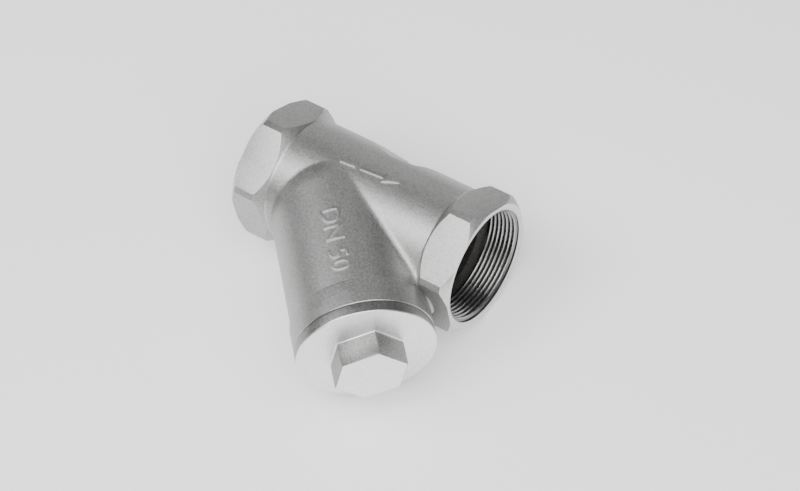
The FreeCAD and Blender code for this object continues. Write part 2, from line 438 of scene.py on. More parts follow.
def passage(depth):
    thread_end = MOUTH_CHAMFER + THREAD_LENGTH
    return turned([
        (-1, 0),
        (-1, MOUTH_R),
        (0, MOUTH_R),
        (MOUTH_CHAMFER, PIPE_ROOT_R),
        (thread_end, PIPE_ROOT_R),
        (thread_end + MOUTH_RUNOUT, RUN_BORE_R),
        (depth, RUN_BORE_R),
        (depth, 0),
    ], 128)


def seat_point(t):
    return crossing + branch_axis * t * MM


across_branch = Vector((-branch_axis.y, branch_axis.x, 0))
inlet_hollow = sliced(passage(INLET_DEPTH), seat_point(SEAT_T - PARTITION), branch_axis)
outlet_hollow = passage(OUTLET_DEPTH)
bmesh.ops.transform(outlet_hollow, matrix=to_outlet, verts=outlet_hollow.verts)
sliced(outlet_hollow, seat_point(SEAT_T), -branch_axis)
sliced(outlet_hollow, crossing, -across_branch)
chamber = turned([
    (SEAT_HOLE_START_T, 0),
    (SEAT_HOLE_START_T, SEAT_HOLE_R),
    (SEAT_RECESS_T, SEAT_HOLE_R),
    (SEAT_RECESS_T, SEAT_RECESS_R),
    (SEAT_T, SEAT_RECESS_R),
    (SEAT_T, CHAMBER_R),
    (CAP_THREAD_START_T, CHAMBER_R),
    (CAP_THREAD_START_T, CAP_ROOT_R),
    (GASKET_SEAT_T, CAP_ROOT_R),
    (GASKET_SEAT_T, GASKET_SEAT_R),
    (COLLAR_END_T + TOOL_RISE, GASKET_SEAT_R),
    (COLLAR_END_T + TOOL_RISE, 0),
], 128)
hollows = [
    as_object(inlet_hollow, "inlet_hollow"),
    as_object(outlet_hollow, "outlet_hollow"),
    as_object(chamber, "chamber_hollow", ON_BRANCH),
]
for hollow in hollows:
    boolean(skin, hollow, "DIFFERENCE")
body = shade(skin, 19)
body.name = "cast_body"
report(body)
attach(body, "casting")
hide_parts("body_casting")

# %% [markdown]
# A pipe thread is a ridge that winds round the socket's wall. Spinning the ridge's section with a
# step along the axis makes the whole helix in one call. The ends fade into the wall, as they do
# where a tap runs out. The threads are right-handed, so they advance along the axis as they turn.


# %% Helper: a helical ridge
FADE_STEPS = 10
TURN_STEPS = 72
RIDGE_SINK = 0.12
RIDGE_SHOULDER = 0.92


def thread_ridge(name, root_r, crest_r, start, pitch, turns, place=None):
    """A ridge from root_r to crest_r, in mm, wound right-handed about X from the start."""
    sink = math.copysign(RIDGE_SINK, root_r - crest_r)
    half = 0.45 * pitch
    top = 0.12 * pitch
    shoulder = half * RIDGE_SHOULDER
    section = [
        (-half, root_r + sink), (-shoulder, root_r), (-top, crest_r + sink), (0, crest_r),
        (top, crest_r + sink), (shoulder, root_r), (half, root_r + sink),
    ]
    bm = bmesh.new()
    corners = [bm.verts.new(((start + x) * MM, 0, r * MM)) for x, r in section]
    loop = [bm.edges.new((v, corners[i - 1])) for i, v in enumerate(corners)]
    steps = round(turns * TURN_STEPS)
    bmesh.ops.spin(
        bm, geom=corners + loop, cent=(0, 0, 0), axis=(1, 0, 0), dvec=(pitch * MM / TURN_STEPS, 0, 0),
        angle=math.tau * steps / TURN_STEPS, steps=steps, use_merge=False,
    )
    bmesh.ops.holes_fill(bm, edges=[e for e in bm.edges if e.is_boundary])
    bm.verts.index_update()
    fade_ends(bm, len(section), steps, (root_r + sink) * MM)
    bmesh.ops.recalc_face_normals(bm, faces=bm.faces)
    return as_object(bm, name, place)


def fade_ends(bm, section_size, steps, wall):
    """Bring the first and last steps of a ridge down to the wall."""
    for v in bm.verts:
        step = v.index // section_size
        share = ease(min(step, steps - step) / FADE_STEPS)
        radius = math.hypot(v.co.y, v.co.z)
        scale = (wall + (radius - wall) * share) / radius
        v.co.y *= scale
        v.co.z *= scale


# %% [markdown]
# Both sockets have the same pipe thread, 11 ridges to the inch. The branch's mouth and the cap
# have a finer thread of 2 mm pitch, which is what the cap's joint follows when it unscrews. The
# cap's ridges start half a pitch from the mouth's, so that they sit in each other's grooves.

# %% Threads
PIPE_PITCH = 25.4 / 11
PIPE_CREST_R = 28.33
CAP_PITCH = 2.0
CAP_CREST_R = 29.85
MOUTH_CREST_R = 28.95
SPIGOT_R = 28.8
MOUTH_RIDGE_T = 80.4
MOUTH_TURNS = 4.75
CAP_RIDGE_T = 83.4
CAP_TURNS = 4
thread_start = MOUTH_CHAMFER + PIPE_PITCH / 2
pipe_turns = (THREAD_LENGTH - PIPE_PITCH) / PIPE_PITCH
pipe_thread = dict(root_r=PIPE_ROOT_R, crest_r=PIPE_CREST_R, pitch=PIPE_PITCH, turns=pipe_turns)
inlet_thread = thread_ridge("inlet_thread", start=thread_start, **pipe_thread)
outlet_thread = thread_ridge("outlet_thread", start=thread_start, place=to_outlet, **pipe_thread)
mouth_thread = thread_ridge(
    "mouth_thread", CAP_ROOT_R, MOUTH_CREST_R, MOUTH_RIDGE_T, CAP_PITCH, MOUTH_TURNS, ON_BRANCH,
)
cap_thread = thread_ridge(
    "cap_thread", SPIGOT_R, CAP_CREST_R, CAP_RIDGE_T, CAP_PITCH, CAP_TURNS, ON_BRANCH,
)
for ridge in (inlet_thread, outlet_thread, mouth_thread):
    report(shade(ridge, 50))
    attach(ridge, "casting")
shade(cap_thread, 50)
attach(cap_thread, "cap")

# %% [markdown]
# The cap is a round flange with a hexagonal head outside and a hollow threaded spigot inside. The
# disc is turned. The head starts as a hexagon whose corners are bevelled, and its edge loop is
# extruded up in steps and drawn in, which makes the soft foot where it was cast on to the flange.

# %% Cap
CAP_FLANGE_R = 34.3
CAP_FACE_T = CAP_JOINT_T + 5.9
SPIGOT_END_T = 82.4
SPIGOT_EDGE = 0.8
CAP_RECESS_T = 88.6
CAP_RECESS_R = 24.6
FLANGE_EDGE = 0.4
CAP_HEX_ACROSS_FLATS = 32.4
CAP_HEX_PHASE = 19.9
CAP_HEX_END_T = 111.6
CAP_HEX_CORNER_FLAT = 0.8
CAP_HEX_TOP_EDGE = 0.5
HEAD_FOOT_R = 0.7
RIM_ROUND = 0.7


def cap_disc():
    rim = quarter(CAP_FACE_T - RIM_ROUND, CAP_FLANGE_R - RIM_ROUND, RIM_ROUND, 90, 0)
    return turned([
        (SPIGOT_END_T, CAP_RECESS_R),
        (SPIGOT_END_T, SPIGOT_R - SPIGOT_EDGE),
        (SPIGOT_END_T + SPIGOT_EDGE, SPIGOT_R),
        (CAP_JOINT_T, SPIGOT_R),
        (CAP_JOINT_T, CAP_FLANGE_R - FLANGE_EDGE),
        (CAP_JOINT_T + FLANGE_EDGE, CAP_FLANGE_R),
        *rim,
        (CAP_FACE_T, 0),
        (CAP_RECESS_T, 0),
        (CAP_RECESS_T, CAP_RECESS_R),
    ], 160)


def flared(ring_verts, across, lift):
    """Move a loop out from the axis by a distance and up to a height, in mm."""
    for v in ring_verts:
        out = Vector((v.co.x, v.co.y, 0)).normalized()
        v.co += out * across * MM
        v.co.z = lift * MM


def cap_head():
    corner_r = CAP_HEX_ACROSS_FLATS / math.sqrt(3) * MM
    bm = bmesh.new()
    bmesh.ops.create_circle(bm, cap_ends=False, segments=6, radius=corner_r)
    bmesh.ops.bevel(
        bm, geom=bm.verts[:], offset=CAP_HEX_CORNER_FLAT / math.sqrt(3) * MM, offset_type="OFFSET",
        segments=1, profile=0.5, material=-1, affect="VERTICES",
    )
    loop = bm.edges[:]
    start_t = CAP_FACE_T - 1
    flared({v for e in loop for v in e.verts}, HEAD_FOOT_R, start_t)
    bmesh.ops.contextual_create(bm, geom=loop)
    foot = quarter(CAP_FACE_T + HEAD_FOOT_R, HEAD_FOOT_R, HEAD_FOOT_R, 180, 270, 6)
    stops = [(HEAD_FOOT_R - out, t) for t, out in foot]
    across = HEAD_FOOT_R
    stops.append((HEAD_FOOT_R, CAP_HEX_END_T - CAP_HEX_TOP_EDGE))
    stops.append((HEAD_FOOT_R + CAP_HEX_TOP_EDGE, CAP_HEX_END_T))
    for inset, lift in stops:
        grown = bmesh.ops.extrude_edge_only(bm, edges=loop)["geom"]
        loop = [g for g in grown if isinstance(g, bmesh.types.BMEdge)]
        flared({v for e in loop for v in e.verts}, HEAD_FOOT_R - inset - across, lift)
        across = HEAD_FOOT_R - inset
    bmesh.ops.contextual_create(bm, geom=loop)
    bmesh.ops.remove_doubles(bm, verts=bm.verts, dist=1e-6)
    bmesh.ops.recalc_face_normals(bm, faces=bm.faces)
    turn = Matrix.Rotation(math.radians(-CAP_HEX_PHASE), 4, "X")
    bmesh.ops.transform(bm, matrix=turn @ LIE_ALONG_X, verts=bm.verts)
    return bm


cap = as_object(cap_disc(), "screw_cap")
boolean(cap, as_object(cap_head(), "cap_head"), "UNION")
cap.data.transform(ON_BRANCH)
report(shade(cap, 30))
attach(cap, "cap")
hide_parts("plug_cap")

# %% [markdown]
# A flat white ring of sealing sheet sits in the collar's recess and is squeezed by the flange.

# %% Gasket
GASKET_INNER_R = 30.4
GASKET_OUTER_R = 32.5
GASKET_EDGE = 0.1
gasket = as_object(turned([
    (GASKET_SEAT_T, GASKET_INNER_R + GASKET_EDGE),
    (GASKET_SEAT_T + GASKET_EDGE, GASKET_INNER_R),
    (CAP_JOINT_T - GASKET_EDGE, GASKET_INNER_R),
    (CAP_JOINT_T, GASKET_INNER_R + GASKET_EDGE),
    (CAP_JOINT_T, GASKET_OUTER_R - GASKET_EDGE),
    (CAP_JOINT_T - GASKET_EDGE, GASKET_OUTER_R),
    (GASKET_SEAT_T + GASKET_EDGE, GASKET_OUTER_R),
    (GASKET_SEAT_T, GASKET_OUTER_R - GASKET_EDGE),
], 128), "sealing_ring", ON_BRANCH)
report(shade(gasket))
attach(gasket, "gasket")
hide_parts("cap_gasket")

# %% [markdown]
# The screen is a sheet with staggered round holes, rolled to a tube. One cell is a ring of eight
# points about a hole, bridged to a square. It is copied in rows that are shifted by half a cell,
# rolled up by turning its height into an angle, and merged. The rims are then extruded to the
# tube's ends, and a solidify modifier gives the sheet its thickness, so each hole has a real edge.

# %% Screen tube
SCREEN_R = 23.3
SCREEN_SHEET = 0.7
SCREEN_START_T = 1.6
SCREEN_END_T = 88.5
CELLS_AROUND = 38
CELL = math.tau * SCREEN_R / CELLS_AROUND
HOLE_R = 1.25
PLAIN_BAND = 6.0
CELL_ROWS = int((SCREEN_END_T - SCREEN_START_T - 2 * PLAIN_BAND) / CELL)


def holed_cell():
    bm = bmesh.new()
    bmesh.ops.create_circle(bm, segments=8, radius=HOLE_R * MM)
    square = bmesh.ops.create_circle(bm, segments=8, radius=CELL / 2 * MM)["verts"]
    for v in square:
        v.co *= CELL / 2 * MM / max(abs(v.co.x), abs(v.co.y))
    bmesh.ops.bridge_loops(bm, edges=bm.edges[:])
    return bm


def holed_sheet():
    bm = holed_cell()
    cell = bm.faces[:]
    for i in range(1, CELL_ROWS * CELLS_AROUND):
        row, column = divmod(i, CELLS_AROUND)
        copy = bmesh.ops.duplicate(bm, geom=cell)["geom"]
        moved = [g for g in copy if isinstance(g, bmesh.types.BMVert)]
        step = (row * CELL * MM, (column + row % 2 / 2) * CELL * MM, 0)
        bmesh.ops.translate(bm, verts=moved, vec=step)
    return bm


def rolled(bm, start_x):
    """Roll a flat sheet about X: y becomes an angle, and x stays a distance along."""
    for v in bm.verts:
        angle = v.co.y / MM / SCREEN_R
        around = (SCREEN_R * MM * math.sin(angle), SCREEN_R * MM * math.cos(angle))
        v.co = Vector((v.co.x + start_x * MM, *around))
    bmesh.ops.remove_doubles(bm, verts=bm.verts, dist=0.02 * MM)
    return bm


def extend_rims(bm):
    """Carry the tube's two open rims on to its ends."""
    first = min(v.co.x for v in bm.verts)
    last = max(v.co.x for v in bm.verts)
    for rim_x, end_t in ((first, SCREEN_START_T), (last, SCREEN_END_T)):
        rim = [e for e in bm.edges if e.is_boundary and all(abs(v.co.x - rim_x) < 1e-6 for v in e.verts)]
        grown = bmesh.ops.extrude_edge_only(bm, edges=rim)["geom"]
        for v in grown:
            if isinstance(v, bmesh.types.BMVert):
                v.co.x = end_t * MM


sheet = rolled(holed_sheet(), (SCREEN_START_T + SCREEN_END_T - (CELL_ROWS - 1) * CELL) / 2)
extend_rims(sheet)
bmesh.ops.recalc_face_normals(sheet, faces=sheet.faces)
screen = as_object(sheet, "perforated_screen", ON_BRANCH)
thicken = screen.modifiers.new("sheet", "SOLIDIFY")
thicken.thickness = SCREEN_SHEET * MM
thicken.offset = -1
report(shade(bake_modifiers(screen), 40))
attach(screen, "screen")
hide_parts("screen_tube")

# %% [markdown]
# The sheet's two edges lap each other along the tube, and spot welds hold them. The lap is a strip
# spun through a few degrees, and each weld is a low round button pressed into it.

# %% Lap seam and end rings
SEAM_HALF_ANGLE = 9
WELDS = 11
LAP = 0.45
WELD_R = 1.3
WELD_HEIGHT = 0.18
END_RING_R = 23.4
END_RING_OUTER_R = 24.0
END_RING_LENGTH = 4.0
END_RING_LIP = 0.2
END_RING_EDGE = 0.3


def lap_strip():
    bm = bmesh.new()
    section = [(SCREEN_START_T, SCREEN_R), (SCREEN_END_T, SCREEN_R)]
    section += [(SCREEN_END_T, SCREEN_R + LAP), (SCREEN_START_T, SCREEN_R + LAP)]
    corners = [bm.verts.new((x * MM, 0, -r * MM)) for x, r in section]
    face = bm.faces.new(corners)
    swing = math.radians(SEAM_HALF_ANGLE)
    bmesh.ops.rotate(bm, verts=corners, cent=(0, 0, 0), matrix=Matrix.Rotation(-swing, 3, "X"))
    spun = bmesh.ops.spin(
        bm, geom=[face], cent=(0, 0, 0), axis=(1, 0, 0), angle=2 * swing, steps=10, use_merge=False,
    )
    print("lap strip", len(bm.faces), "faces, last loop", len(spun["geom_last"]))
    bmesh.ops.recalc_face_normals(bm, faces=bm.faces)
    return bm


def weld_buttons(bm):
    first_t = SCREEN_START_T + PLAIN_BAND
    last_t = SCREEN_END_T - PLAIN_BAND
    for i in range(WELDS):
        t = first_t + i * (last_t - first_t) / (WELDS - 1)
        flat = Matrix.Diagonal((WELD_R * MM, WELD_R * MM, WELD_HEIGHT * MM, 1))
        place = Matrix.Translation((t * MM, 0, -(SCREEN_R + LAP) * MM)) @ flat
        bmesh.ops.create_uvsphere(bm, u_segments=14, v_segments=8, radius=1, matrix=place)
    return bm


seam = as_object(weld_buttons(lap_strip()), "screen_lap_seam", ON_BRANCH)


def end_ring(outer_t, way):
    """A ring from the screen's end inwards, way being 1 or -1, with its edges broken."""
    inner_t = outer_t + way * END_RING_LENGTH
    return turned([
        (outer_t, END_RING_R),
        (inner_t - way * END_RING_LIP, END_RING_R),
        (inner_t, END_RING_R + END_RING_LIP),
        (inner_t, END_RING_OUTER_R - END_RING_LIP),
        (inner_t - way * END_RING_LIP, END_RING_OUTER_R),
        (outer_t + way * END_RING_EDGE, END_RING_OUTER_R),
        (outer_t, END_RING_OUTER_R - END_RING_EDGE),
    ], 128)


seat_ring = as_object(end_ring(SCREEN_START_T, 1), "seat_ring", ON_BRANCH)
cap_ring = as_object(end_ring(SCREEN_END_T, -1), "cap_ring", ON_BRANCH)
for ring, node in ((seat_ring, "screen_seat_ring"), (cap_ring, "screen_cap_ring")):
    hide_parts(node)
for piece in (seam, seat_ring, cap_ring):
    report(shade(piece, 40))
    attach(piece, "screen")

# %% [markdown]
# Two marks stand up from the casting: an arrow on the run for the flow, and the nominal size on the
# branch. They are flat outlines filled to plates, wrapped on the round by turning their width into
# an angle, and softened along their edges, as letters are in an investment casting.

# %% Raised marks
MARK_HEIGHT = 0.7
MARK_SINK = 0.5
MARK_BEVEL = 0.3
ARROW_TAIL_X = 48.0
ARROW_TIP_X = 81.3
ARROW_BREAK = (57.0, 59.5)
ARROW_HALF_SHAFT = 1.15
ARROW_HEAD_LENGTH = 8.6
ARROW_HALF_HEAD = 3.5
ARROW_Y = 3.9
ARROW_TURN = 4.0
SIZE_TEXT = "DN 50"
SIZE_CAPITALS = 9.4
SIZE_START_T = 33.0
SIZE_MIDDLE_U = -2.2


def plate(bm, outlines):
    """Raise flat outlines, in mm, to plates with bevelled upper edges."""
    for outline in outlines:
        bm.faces.new([bm.verts.new((x * MM, y * MM, 0)) for x, y in outline])
    return raise_plates(bm)


def raise_plates(bm):
    grown = bmesh.ops.extrude_face_region(bm, geom=bm.faces[:])["geom"]
    top = [g for g in grown if isinstance(g, bmesh.types.BMVert)]
    bmesh.ops.translate(bm, verts=top, vec=(0, 0, (MARK_HEIGHT + MARK_SINK) * MM))
    bmesh.ops.recalc_face_normals(bm, faces=bm.faces)
    top_edges = {e for v in top for e in v.link_edges if e.other_vert(v) in top}
    outer = [e for e in top_edges if len(e.link_faces) == 2 and e.calc_face_angle(0) > 0.5]
    bmesh.ops.bevel(
        bm, geom=outer, offset=MARK_BEVEL * MM, offset_type="OFFSET", segments=2, profile=0.5,
        material=-1, affect="EDGES", clamp_overlap=True,
    )
    return bm


def wrapped(bm, radius, slices=2.0):
    """Wrap flat plates on a round about X: y becomes an angle, z a height over the surface."""
    low = min(v.co.y for v in bm.verts)
    high = max(v.co.y for v in bm.verts)
    cuts = int((high - low) / MM / slices)
    for i in range(1, cuts):
        at = low + (high - low) * i / cuts
        bmesh.ops.bisect_plane(
            bm, geom=bm.verts[:] + bm.edges[:] + bm.faces[:], dist=1e-7,
            plane_co=(0, at, 0), plane_no=(0, 1, 0),
        )
    for v in bm.verts:
        angle = v.co.y / MM / radius
        reach = (radius - MARK_SINK) * MM + v.co.z
        v.co = Vector((v.co.x, reach * math.sin(angle), reach * math.cos(angle)))
    return bm


def arrow_outlines():
    """The arrow's tail and its shaft with the head, with x from the tip and y across."""
    tail, tail_end, shaft = [x - ARROW_TIP_X for x in (ARROW_TAIL_X, *ARROW_BREAK)]
    half = ARROW_HALF_SHAFT
    neck = -ARROW_HEAD_LENGTH
    head = [(neck, -half), (neck, -ARROW_HALF_HEAD), (0, 0), (neck, ARROW_HALF_HEAD), (neck, half)]
    return [
        [(tail, -half), (tail_end, -half), (tail_end, half), (tail, half)],
        [(shaft, -half), *head, (shaft, half)],
    ]


arrow = plate(bmesh.new(), arrow_outlines())
turn = Matrix.Rotation(math.radians(ARROW_TURN), 4, "Z")
aim = Matrix.Translation((ARROW_TIP_X * MM, ARROW_Y * MM, 0)) @ turn
bmesh.ops.transform(arrow, matrix=aim, verts=arrow.verts)
arrow = as_object(wrapped(arrow, NECK_R), "flow_arrow")


def size_plates():
    """The size mark as flat faces, reading along the branch with its tops towards +u."""
    text = bpy.data.curves.new("size_text", "FONT")
    text.body = SIZE_TEXT
    text.size = 1
    text.resolution_u = 4
    holder = bpy.data.objects.new("size_text", text)
    bpy.context.scene.collection.objects.link(holder)
    bpy.context.view_layer.update()
    graph = bpy.context.evaluated_depsgraph_get()
    mesh = bpy.data.meshes.new_from_object(holder.evaluated_get(graph), depsgraph=graph)
    bpy.data.objects.remove(holder)
    bm = bmesh.new()
    bm.from_mesh(mesh)
    bmesh.ops.remove_doubles(bm, verts=bm.verts, dist=1e-5)
    height = max(v.co.y for v in bm.verts)
    scale = SIZE_CAPITALS / height * MM
    drop = (SIZE_MIDDLE_U - SIZE_CAPITALS / 2) * MM
    place = Matrix.Translation((SIZE_START_T * MM, drop, 0)) @ Matrix.Diagonal((scale, scale, scale, 1))
    bmesh.ops.transform(bm, matrix=place, verts=bm.verts)
    return bm


size_mark = as_object(wrapped(raise_plates(size_plates()), BRANCH_R), "size_mark", ON_BRANCH)
for mark in (arrow, size_mark):
    report(shade(mark, 35))
    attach(mark, "casting")

# %% [markdown]
# A material is a small web of nodes. To keep the sums readable, a socket is wrapped so that Python's
# own arithmetic adds the Math nodes, and one method makes any other node from its type, its
# settings and what goes into its sockets.


# %% Helpers: materials as expressions
class Wire:
    """A number that varies over a surface. Arithmetic on it adds Math nodes."""

    def __init__(self, paint, socket):
        self.paint = paint
        self.socket = socket

    def math(self, operation, *values):
        return self.paint.node("ShaderNodeMath", {"operation": operation}, dict(enumerate(values)))

    def __add__(self, other):
        return self.math("ADD", self, other)

    def __sub__(self, other):
        return self.math("SUBTRACT", self, other)

    def __rsub__(self, other):
        return self.math("SUBTRACT", other, self)

    def __mul__(self, other):
        return self.math("MULTIPLY", self, other)

    __radd__ = __add__
    __rmul__ = __mul__

    def sine(self):
        return self.math("SINE", self)

    def between(self, low, high):
        """0 at low, 1 at high, a ramp between them, and no more or less beyond."""
        values = {"Value": self, "From Min": low, "From Max": high}
        return self.paint.node("ShaderNodeMapRange", {"clamp": True}, values)


class Paint:
    """A material on the Principled shader."""

    def __init__(self, name):
        self.material = bpy.data.materials.new(name)
        self.material.use_nodes = True
        self.tree = self.material.node_tree
        self.shader = self.tree.nodes["Principled BSDF"]

    def node(self, kind, settings=None, values=None, output=0):
        made = self.tree.nodes.new(kind)
        for setting, value in (settings or {}).items():
            setattr(made, setting, value)
        for socket, value in (values or {}).items():
            self.feed(made.inputs[socket], value)
        return Wire(self, made.outputs[output])

    def feed(self, socket, value):
        if isinstance(value, Wire):
            self.tree.links.new(value.socket, socket)
        elif isinstance(value, tuple) and socket.type == "RGBA":
            socket.default_value = (*value, 1)
        else:
            socket.default_value = value

    def set(self, **values):
        for socket, value in values.items():
            self.feed(self.shader.inputs[socket.replace("_", " ")], value)

    def place(self, along_branch=False):
        """Object coordinates, or the same turned and moved so that X runs along the branch."""
        point = self.node("ShaderNodeTexCoord", output="Object")
        if not along_branch:
            return point
        undo = ON_BRANCH.inverted()
        values = {"Vector": point, "Location": undo.to_translation(), "Rotation": undo.to_euler()}
        return self.node("ShaderNodeMapping", None, values)

    def xyz(self, vector):
        parts = self.node("ShaderNodeSeparateXYZ", None, {"Vector": vector}).socket.node
        return [Wire(self, part) for part in parts.outputs]

    def noise(self, point, scale, detail=2.0, roughness=0.5):
        values = {"Vector": point, "Scale": scale, "Detail": detail, "Roughness": roughness}
        return self.node("ShaderNodeTexNoise", None, values)

    def mix(self, share, first, second):
        settings = {"data_type": "RGBA"}
        return self.node("ShaderNodeMix", settings, {0: share, 6: first, 7: second}, output=2)

    def bump(self, height, strength, distance):
        values = {"Height": height, "Strength": strength, "Distance": distance}
        self.set(Normal=self.node("ShaderNodeBump", None, values))


def grey(level, warmth=0.004):
    """A nearly neutral grey, very slightly warm as stainless steel is."""
    return (level + warmth / 2, level, level - warmth)


# %% [markdown]
# Investment-cast stainless is shot blasted, which leaves a matte grey with a fine even grain and no
# polish. Two scales of noise make the grain, a slow one clouds the tone a little, and the grain
# also drives the roughness, so that highlights break up as they do on real blasted metal. Inside,
# the same casting is painted nearly black, as painted shade for the hollows that light doesn't
# reach. Its rounded-over edges are painted brighter than the rest, partly as wear and partly as a
# painted highlight.

# %% Cast steel
GRAIN = 1100
PEBBLE = 560
CLOUD = 60


def blasted(name, dark, light, roughness, grain_depth):
    paint = Paint(name)
    point = paint.place()
    grain = paint.noise(point, GRAIN, 3.0, 0.7)
    pebble = paint.noise(point, PEBBLE, 2.0, 0.6)
    cloud = paint.noise(point, CLOUD, 3.0, 0.6)
    tone = (grain * 0.75 + pebble * 0.15 + cloud * 0.1).between(0.40, 0.60)
    paint.set(Base_Color=paint.mix(tone, grey(dark), grey(light)), Metallic=0.9)
    paint.set(Roughness=grain * 0.2 + pebble * 0.1 + (roughness - 0.15))
    paint.bump(grain + pebble * 0.5, 0.6, grain_depth)
    return paint


cast_steel = blasted("cast_steel", 0.32, 0.48, 0.46, 0.00012)
# Edge paint: lighter and smoother, partly edge wear and partly a painted highlight on the rounded edges.
cast_edge = blasted("cast_edge", 0.40, 0.54, 0.34, 0.00005)
# Inside paint: nearly black, painted shade for the hollows inside the casting.
cast_inside = blasted("cast_inside", 0.05, 0.10, 0.55, 0.00015)
cap_steel = blasted("cap_steel", 0.22, 0.35, 0.38, 0.00012)
cap_face = blasted("cap_face", 0.76, 0.92, 0.42, 0.00010)
# Cap edge paint: much lighter, partly edge wear and partly a painted highlight; the marks' sides use it as a
# painted highlight.
cap_edge = blasted("cap_edge", 0.70, 0.84, 0.34, 0.00004)
turned_cone = blasted("turned_cone", 0.56, 0.70, 0.40, 0.00004)

# %% [markdown]
# Faces, mouths and seats are cut on a lathe after casting, so they are brighter and carry fine
# rings. The rings are a sine of the distance from the axis added to the distance along it. On a
# thread the roots are painted dark, as painted shade in the grooves, and the crests keep the
# machined tone, so there the tone follows the distance from the axis.

# %% Machined steel
RING_PITCH = 0.00035


def distance_from_axis(paint, across, upward):
    squares = across * across + upward * upward
    return squares.math("SQRT", squares)


def machined(name, along_branch, root_r=None, crest_r=None):
    """A turned finish about the run or the branch. The radii, in mm, are a thread's."""
    paint = Paint(name)
    point = paint.place(along_branch)
    along, across, upward = paint.xyz(point)
    radius = distance_from_axis(paint, across, upward)
    rings = ((along + radius) * (math.tau / RING_PITCH)).sine()
    patch = paint.noise(point, 180, 3.0, 0.6)
    tone = paint.mix(patch, grey(0.58), grey(0.72))
    # A thread's roots are painted dark grey and its crests keep the machined tone: painted shade in the grooves.
    if crest_r:
        root_shade_r = root_r + 0.6 * (crest_r - root_r)
        tone = paint.mix(radius.between(root_shade_r * MM, crest_r * MM), grey(0.26), tone)
    paint.set(Base_Color=tone, Metallic=1.0, Roughness=patch * 0.18 + 0.2)
    paint.bump(rings * 0.5 + patch * 0.5, 0.25, 0.00003)
    return paint


machined_run = machined("machined_run", False)
machined_branch = machined("machined_branch", True)
pipe_thread_shaded_roots = machined("pipe_thread", False, PIPE_ROOT_R, PIPE_CREST_R)
mouth_thread_shaded_roots = machined("mouth_thread", True, CAP_ROOT_R, MOUTH_CREST_R)
cap_thread_shaded_roots = machined("cap_thread", True, SPIGOT_R, CAP_CREST_R)

# %% [markdown]
# The sealing sheet is a dull white with a faint mottle. The screen's sheet is cold rolled, with fine
# streaks along the branch. The lining is wire cloth: two sets of waves, one along the tube and one
# round it, give the woven relief as bump, and their troughs are painted darker, as painted shade
# where one wire dips under another.

# %% Gasket, sheet and wire cloth
WIRE_PITCH = 0.0008
sealing = Paint("sealing_white")
mottle = sealing.noise(sealing.place(), 400, 3.0)
sealing.set(Base_Color=sealing.mix(mottle, (0.72, 0.72, 0.69), (0.84, 0.84, 0.81)), Roughness=0.55)
sealing.bump(mottle, 0.3, 0.00004)

rolled_sheet = Paint("rolled_sheet")
stretch = {"Vector": rolled_sheet.place(True), "Scale": (60, 2200, 2200)}
streaks = rolled_sheet.noise(rolled_sheet.node("ShaderNodeMapping", None, stretch), 1.0)
rolled_sheet.set(Base_Color=rolled_sheet.mix(streaks, grey(0.55), grey(0.7)), Metallic=1.0)
rolled_sheet.set(Roughness=streaks * 0.16 + 0.24)
rolled_sheet.bump(streaks, 0.2, 0.00003)

wire_cloth = Paint("wire_cloth")
along, across, upward = wire_cloth.xyz(wire_cloth.place(True))
cloth_r = (SCREEN_R - SCREEN_SHEET) * MM
weft = (across.math("ARCTAN2", across, upward) * (cloth_r * math.tau / WIRE_PITCH)).sine()
warp = (along * (math.tau / WIRE_PITCH)).sine()
weave_and_shade = weft * warp * 0.5 + 0.5
# The troughs of the waves are painted dark: painted shade where the wires cross under each other.
wire_cloth.set(Base_Color=wire_cloth.mix(weave_and_shade, grey(0.12), grey(0.62)), Metallic=0.9, Roughness=0.38)
wire_cloth.bump(weave_and_shade, 0.8, 0.00015)

# %% [markdown]
# The casting has several finishes: its faces, mouths and seats are machined, its inside is painted
# dark as painted shade, and the rest is blasted. Which one a face gets goes by where its middle is.
# A face that is only a few tenths of a millimetre wide is part of a rounded-over edge, and is painted
# brighter, as wear and as a painted highlight.


# %% Paint the pieces
EDGE_FACE_WIDTH = 0.45
CONE_LENGTH = 4.2
COLLAR_STEP_LENGTH = 2
CLOSE = 0.1


def finishes(piece, paints, choose=None):
    """Give a piece its finishes. choose says which one a face gets, from its middle and width."""
    piece.data.materials.clear()
    for paint in paints:
        piece.data.materials.append(paint.material)
    vertices = piece.data.vertices
    for face in piece.data.polygons if choose else []:
        corners = [vertices[i].co for i in face.vertices]
        longest = max((a - b).length for a, b in zip(corners, corners[1:] + corners[:1]))
        face.material_index = paints.index(choose(face.center, face.area / longest / MM))
    print(piece.name, "has", len(paints), "finishes")


def casting_finish(middle, width):
    radius = math.hypot(middle.y, middle.z) / MM
    from_end = min(middle.x, RUN_LENGTH * MM - middle.x) / MM
    along, from_branch = branch_place(middle)
    if from_end < CLOSE / 2 and radius < HEX_FACE_R - CLOSE:
        return machined_run
    if from_end < MOUTH_CHAMFER + THREAD_LENGTH and radius < MOUTH_R:
        return machined_run if from_end < MOUTH_CHAMFER else pipe_thread_shaded_roots
    in_cap_mouth = along > CAP_THREAD_START_T - CLOSE and from_branch < GASKET_SEAT_R + 2 * CLOSE
    if along > COLLAR_END_T - CLOSE / 2 or in_cap_mouth:
        return machined_branch
    if middle.dot(valley_out) / MM > VALLEY_FLOOR_R - VALLEY_STEP - CLOSE:
        return cast_steel
    # Bore and chamber walls get the dark inside paint, which is painted shade.
    if radius < PIPE_ROOT_R - 0.5 or (from_branch < CHAMBER_R + 0.2 and along > 0):
        return cast_inside
    if from_end < CONE_LENGTH:
        return turned_cone
    on_socket = from_end < HEX_LENGTH + SOCKET_SKIRT
    on_collar = along > COLLAR_START_T + COLLAR_STEP_LENGTH
    # Narrow edge faces on the sockets and the collar get the edge paint: wear and a painted highlight.
    return cast_edge if width < EDGE_FACE_WIDTH and (on_socket or on_collar) else cast_steel


